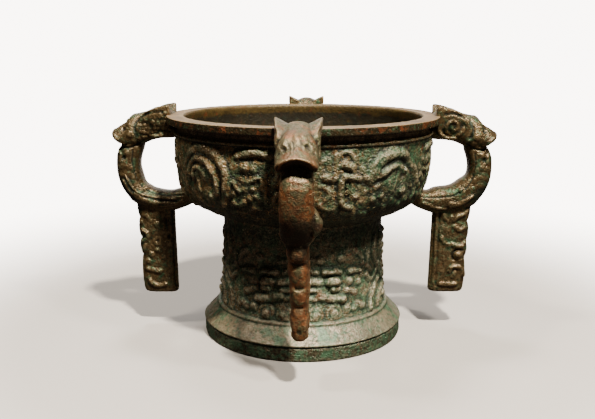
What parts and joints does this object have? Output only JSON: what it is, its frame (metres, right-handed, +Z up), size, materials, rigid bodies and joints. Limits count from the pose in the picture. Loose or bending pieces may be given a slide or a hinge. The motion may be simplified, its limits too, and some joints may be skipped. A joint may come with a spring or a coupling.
{
  "type": "bronze gui food vessel",
  "caption": "Footed bronze food vessel with an open round bowl, beast-headed loop handles with pendants and a hollow flared foot ring.",
  "frame": {"origin": "middle of the bearing ring, on the surface that the vessel stands on", "axes": "+Z up along the vessel's axis; the four handles stand on +X, -X, +Y and -Y, the one with the side spur on -Y"},
  "size_m": [0.3136, 0.3136, 0.189],
  "materials": {
    "patinated_bronze": "old cast bronze, dull olive brown with green and red-brown patina, rubbed grey-tan on the high edges"
  },
  "bodies": {
    "root": {"gui_vessel": "patinated_bronze"}
  },
  "joints": []
}
